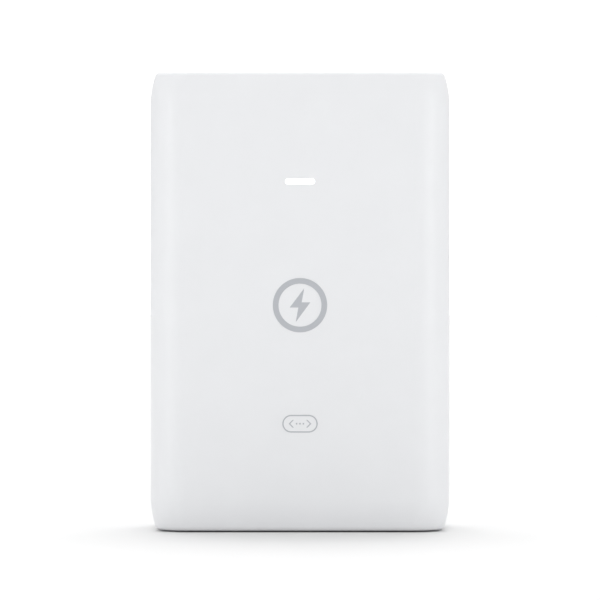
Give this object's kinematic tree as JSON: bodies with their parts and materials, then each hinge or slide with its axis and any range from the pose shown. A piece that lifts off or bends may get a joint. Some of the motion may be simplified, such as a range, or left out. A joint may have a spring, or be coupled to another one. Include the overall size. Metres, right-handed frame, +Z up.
{
  "type": "power injector",
  "caption": "Soft-edged upright power injector with a lit slot, mains inlet on top, two network sockets below and a slide-off wall bracket behind.",
  "frame": {"origin": "centre of the bottom end face, on the surface that the object stands on", "axes": "+Z up towards the mains inlet; -Y out of the front face with the light slot; +Y out of the bracket side"},
  "size_m": [0.064, 0.035, 0.0985],
  "materials": {
    "case_plastic": "fine satin texture",
    "lens_plastic": "milky and lit",
    "grey_ink": "flat print",
    "label_film": "satin film",
    "screw_steel": "zinc plated",
    "board_laminate": "solder mask",
    "insulation_film": "translucent film",
    "black_nylon": "moulded",
    "plated_brass": "nickel plated",
    "fuse_plastic": "moulded",
    "blue_epoxy": "dipped",
    "dark_epoxy": "dipped",
    "yellow_box": "moulded",
    "ferrite": "sintered",
    "copper_wire": "enamelled",
    "black_epoxy": "moulded",
    "can_sleeve": "shrink sleeve",
    "polymer_can": "drawn",
    "sink_aluminium": "sawn extrusion",
    "yellow_tape": "taped",
    "white_moulding": "moulded",
    "ivory_moulding": "moulded",
    "led_resin": "clear resin",
    "red_insulation": "smooth sleeve",
    "black_insulation": "smooth sleeve",
    "shield_tinplate": "tin plated",
    "gold_contact": "gold flash",
    "chip_ceramic": "sintered"
  },
  "bodies": {
    "case": {"front_cover": "case_plastic", "rear_cover": "case_plastic", "case_screws": "screw_steel", "light_pipe": "lens_plastic", "front_print": "grey_ink", "port_print": "grey_ink", "rating_label": "label_film", "main_board": "board_laminate", "board_screws": "screw_steel", "insulation_sheet": "insulation_film", "inlet_housing": "black_nylon", "inlet_blades": "plated_brass", "fuse": "fuse_plastic", "varistor": "blue_epoxy", "inrush_thermistor": "dark_epoxy", "x_capacitor": "yellow_box", "choke_base": "black_nylon", "choke_core": "ferrite", "choke_windings": "copper_wire", "bridge_rectifier": "black_epoxy", "bulk_capacitor": "can_sleeve", "primary_heatsink": "sink_aluminium", "primary_switch": "black_epoxy", "pwm_controller": "black_epoxy", "transformer_core_lower": "ferrite", "transformer_core_upper": "ferrite", "transformer_bobbin": "black_nylon", "transformer_winding": "yellow_tape", "y_capacitor": "blue_epoxy", "optocoupler": "white_moulding", "secondary_heatsink": "sink_aluminium", "output_rectifier": "black_epoxy", "heatsink_screws": "screw_steel", "output_capacitors": "polymer_can", "output_choke_core": "ferrite", "output_choke_winding": "copper_wire", "poe_controller": "black_epoxy", "lan_magnetics": "black_epoxy", "indicator_board": "board_laminate", "status_led": "led_resin", "indicator_header": "ivory_moulding", "indicator_plug": "white_moulding", "indicator_lead_positive": "red_insulation", "indicator_lead_negative": "black_insulation", "poe_jack_shield": "shield_tinplate", "poe_jack_housing": "black_nylon", "poe_jack_contacts": "gold_contact", "lan_jack_shield": "shield_tinplate", "lan_jack_housing": "black_nylon", "lan_jack_contacts": "gold_contact", "chip_resistors": "black_epoxy", "chip_capacitors": "chip_ceramic"},
    "bracket": {"wall_bracket": "case_plastic"},
    "poe_contact_springs": {"poe_jack_springs": "gold_contact"},
    "lan_contact_springs": {"lan_jack_springs": "gold_contact"}
  },
  "joints": [
    {"name": "bracket_slide", "type": "slide", "parent": "case", "child": "bracket", "axis": [0, 0, -1], "range_m": [0, 0.005]},
    {"name": "poe_contacts_flex", "type": "hinge", "parent": "case", "child": "poe_contact_springs", "pos_m": [-0.0105, -0.0035, 0.00285], "axis": [1, 0, 0], "range_deg": [0, 8], "stiffness_Nm_per_rad": 0.2},
    {"name": "lan_contacts_flex", "type": "hinge", "parent": "case", "child": "lan_contact_springs", "pos_m": [0.0105, -0.0035, 0.00285], "axis": [1, 0, 0], "range_deg": [0, 8], "stiffness_Nm_per_rad": 0.2}
  ]
}
